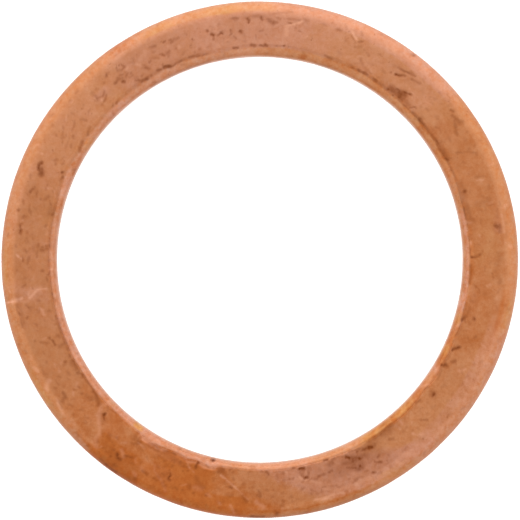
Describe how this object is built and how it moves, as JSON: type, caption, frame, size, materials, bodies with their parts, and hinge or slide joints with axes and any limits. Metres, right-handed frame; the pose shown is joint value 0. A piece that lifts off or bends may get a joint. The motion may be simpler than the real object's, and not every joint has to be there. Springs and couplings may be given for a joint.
{
  "type": "exhaust manifold gasket",
  "caption": "Round copper sealing ring with rounded edges and a folded lip round its hole, for the joint between an exhaust pipe and its port.",
  "frame": {"origin": "centre of the ring's lower face, on the surface that it lies on", "axes": "+Z along the axis of the hole, towards the face with the folded seam; +X and +Y lie in the face, with +X to the right of the picture and +Y to its top"},
  "size_m": [0.038, 0.038, 0.003],
  "materials": {
    "copper": "annealed copper sheet, slightly tarnished, with small dark marks"
  },
  "bodies": {
    "root": {"gasket_ring": "copper"}
  },
  "joints": []
}
